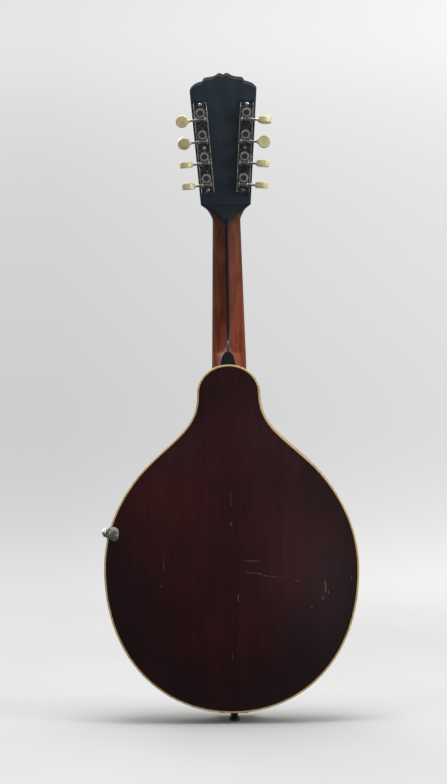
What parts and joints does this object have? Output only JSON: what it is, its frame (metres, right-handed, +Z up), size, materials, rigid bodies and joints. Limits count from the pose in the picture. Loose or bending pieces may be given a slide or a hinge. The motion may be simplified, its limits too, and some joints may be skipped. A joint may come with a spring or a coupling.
{
  "type": "mandolin",
  "caption": "Carved-top oval-hole mandolin with a dark stained back, bound edges, geared tuning machines, a raised pickguard on a side clamp and a sliding tailpiece cover.",
  "frame": {"origin": "centre of the end pin's flat outer face", "axes": "+Z up the neck to the headstock, the soundboard faces -Y and the back faces +Y, +X is the treble side that carries the pickguard"},
  "size_m": [0.2587, 0.0998, 0.6498],
  "materials": {
    "soundboard_wood": "amber varnish over spruce",
    "stained_wood": "near-black red-brown stain under old varnish",
    "neck_wood": "red-brown varnished mahogany",
    "pale_wood": "bare wood",
    "black_wood": "satin black",
    "pickguard_plastic": "dark polished",
    "cream_plastic": "aged cream",
    "ivory_plastic": "aged ivory colour",
    "pearl": "pearl",
    "nickel": "worn nickel plate",
    "dark_nickel": "dark aged nickel plate",
    "string_bronze": "wound bronze"
  },
  "bodies": {
    "instrument": {"soundboard": "soundboard_wood", "back_plate": "stained_wood", "rim": "stained_wood", "body_binding": "cream_plastic", "sound_hole_rings": "cream_plastic", "head_block": "pale_wood", "tail_block": "pale_wood", "linings": "pale_wood", "top_brace": "soundboard_wood", "neck": "neck_wood", "neck_center_strip": "black_wood", "heel_cap": "black_wood", "headstock_overlay": "black_wood", "headstock_back_veneer": "black_wood", "pearl_inlays": "pearl", "nut": "ivory_plastic", "fingerboard": "black_wood", "frets": "nickel", "bridge": "black_wood", "tailpiece": "nickel", "tailpiece_screws": "nickel", "end_pin": "black_wood", "pickguard": "pickguard_plastic", "pickguard_pins": "nickel", "pickguard_bracket": "nickel", "clamp_foot": "nickel", "strings": "string_bronze", "post_bushings": "nickel", "tuner_plate_treble": "dark_nickel", "tuner_plate_bass": "dark_nickel", "tuner_plate_screws": "nickel"},
    "knob_e2": {"button_e2": "ivory_plastic", "worm_shaft_e2": "nickel"},
    "post_e2": {"string_post_e2": "nickel"},
    "knob_e1": {"button_e1": "ivory_plastic", "worm_shaft_e1": "nickel"},
    "post_e1": {"string_post_e1": "nickel"},
    "knob_a2": {"button_a2": "ivory_plastic", "worm_shaft_a2": "nickel"},
    "post_a2": {"string_post_a2": "nickel"},
    "knob_a1": {"button_a1": "ivory_plastic", "worm_shaft_a1": "nickel"},
    "post_a1": {"string_post_a1": "nickel"},
    "knob_g1": {"button_g1": "ivory_plastic", "worm_shaft_g1": "nickel"},
    "post_g1": {"string_post_g1": "nickel"},
    "knob_g2": {"button_g2": "ivory_plastic", "worm_shaft_g2": "nickel"},
    "post_g2": {"string_post_g2": "nickel"},
    "knob_d1": {"button_d1": "ivory_plastic", "worm_shaft_d1": "nickel"},
    "post_d1": {"string_post_d1": "nickel"},
    "knob_d2": {"button_d2": "ivory_plastic", "worm_shaft_d2": "nickel"},
    "post_d2": {"string_post_d2": "nickel"},
    "cover": {"tailpiece_cover": "nickel"},
    "clamp_nut": {"clamp_nut": "nickel"}
  },
  "joints": [
    {"name": "knob_turn_e2", "type": "hinge", "parent": "instrument", "child": "knob_e2", "pos_m": [0.0182, 0.01904, 0.54008], "axis": [0.9979, -0.0199, -0.0614], "continuous": true},
    {"name": "post_turn_e2", "type": "hinge", "parent": "instrument", "child": "post_e2", "pos_m": [0.01865, 0.0212, 0.54673], "axis": [0, 0.9511, -0.309], "continuous": true},
    {"name": "knob_turn_e1", "type": "hinge", "parent": "instrument", "child": "knob_e1", "pos_m": [0.01962, 0.02583, 0.56096], "axis": [0.9979, -0.0199, -0.0614], "continuous": true},
    {"name": "post_turn_e1", "type": "hinge", "parent": "instrument", "child": "post_e1", "pos_m": [0.02007, 0.02799, 0.56761], "axis": [0, 0.9511, -0.309], "continuous": true},
    {"name": "knob_turn_a2", "type": "hinge", "parent": "instrument", "child": "knob_a2", "pos_m": [0.02104, 0.03261, 0.58184], "axis": [0.9979, -0.0199, -0.0614], "continuous": true},
    {"name": "post_turn_a2", "type": "hinge", "parent": "instrument", "child": "post_a2", "pos_m": [0.02149, 0.03477, 0.58849], "axis": [0, 0.9511, -0.309], "continuous": true},
    {"name": "knob_turn_a1", "type": "hinge", "parent": "instrument", "child": "knob_a1", "pos_m": [0.02246, 0.0394, 0.60272], "axis": [0.9979, -0.0199, -0.0614], "continuous": true},
    {"name": "post_turn_a1", "type": "hinge", "parent": "instrument", "child": "post_a1", "pos_m": [0.02291, 0.04156, 0.60937], "axis": [0, 0.9511, -0.309], "continuous": true},
    {"name": "knob_turn_g1", "type": "hinge", "parent": "instrument", "child": "knob_g1", "pos_m": [-0.0182, 0.01904, 0.54008], "axis": [-0.9979, -0.0199, -0.0614], "continuous": true},
    {"name": "post_turn_g1", "type": "hinge", "parent": "instrument", "child": "post_g1", "pos_m": [-0.01865, 0.0212, 0.54673], "axis": [0, 0.9511, -0.309], "continuous": true},
    {"name": "knob_turn_g2", "type": "hinge", "parent": "instrument", "child": "knob_g2", "pos_m": [-0.01962, 0.02583, 0.56096], "axis": [-0.9979, -0.0199, -0.0614], "continuous": true},
    {"name": "post_turn_g2", "type": "hinge", "parent": "instrument", "child": "post_g2", "pos_m": [-0.02007, 0.02799, 0.56761], "axis": [0, 0.9511, -0.309], "continuous": true},
    {"name": "knob_turn_d1", "type": "hinge", "parent": "instrument", "child": "knob_d1", "pos_m": [-0.02104, 0.03261, 0.58184], "axis": [-0.9979, -0.0199, -0.0614], "continuous": true},
    {"name": "post_turn_d1", "type": "hinge", "parent": "instrument", "child": "post_d1", "pos_m": [-0.02149, 0.03477, 0.58849], "axis": [0, 0.9511, -0.309], "continuous": true},
    {"name": "knob_turn_d2", "type": "hinge", "parent": "instrument", "child": "knob_d2", "pos_m": [-0.02246, 0.0394, 0.60272], "axis": [-0.9979, -0.0199, -0.0614], "continuous": true},
    {"name": "post_turn_d2", "type": "hinge", "parent": "instrument", "child": "post_d2", "pos_m": [-0.02291, 0.04156, 0.60937], "axis": [0, 0.9511, -0.309], "continuous": true},
    {"name": "cover_slide", "type": "slide", "parent": "instrument", "child": "cover", "axis": [0, 0, -1], "range_m": [0, 0.046]},
    {"name": "clamp_nut_turn", "type": "hinge", "parent": "instrument", "child": "clamp_nut", "pos_m": [0.12815, 0, 0.192], "axis": [1, 0, 0], "range_deg": [0, 720]}
  ],
  "couplings": [
    {"joint": "post_turn_e2", "follows": "knob_turn_e2", "ratio": 0.071429},
    {"joint": "post_turn_e1", "follows": "knob_turn_e1", "ratio": 0.071429},
    {"joint": "post_turn_a2", "follows": "knob_turn_a2", "ratio": 0.071429},
    {"joint": "post_turn_a1", "follows": "knob_turn_a1", "ratio": 0.071429},
    {"joint": "post_turn_g1", "follows": "knob_turn_g1", "ratio": 0.071429},
    {"joint": "post_turn_g2", "follows": "knob_turn_g2", "ratio": 0.071429},
    {"joint": "post_turn_d1", "follows": "knob_turn_d1", "ratio": 0.071429},
    {"joint": "post_turn_d2", "follows": "knob_turn_d2", "ratio": 0.071429}
  ]
}
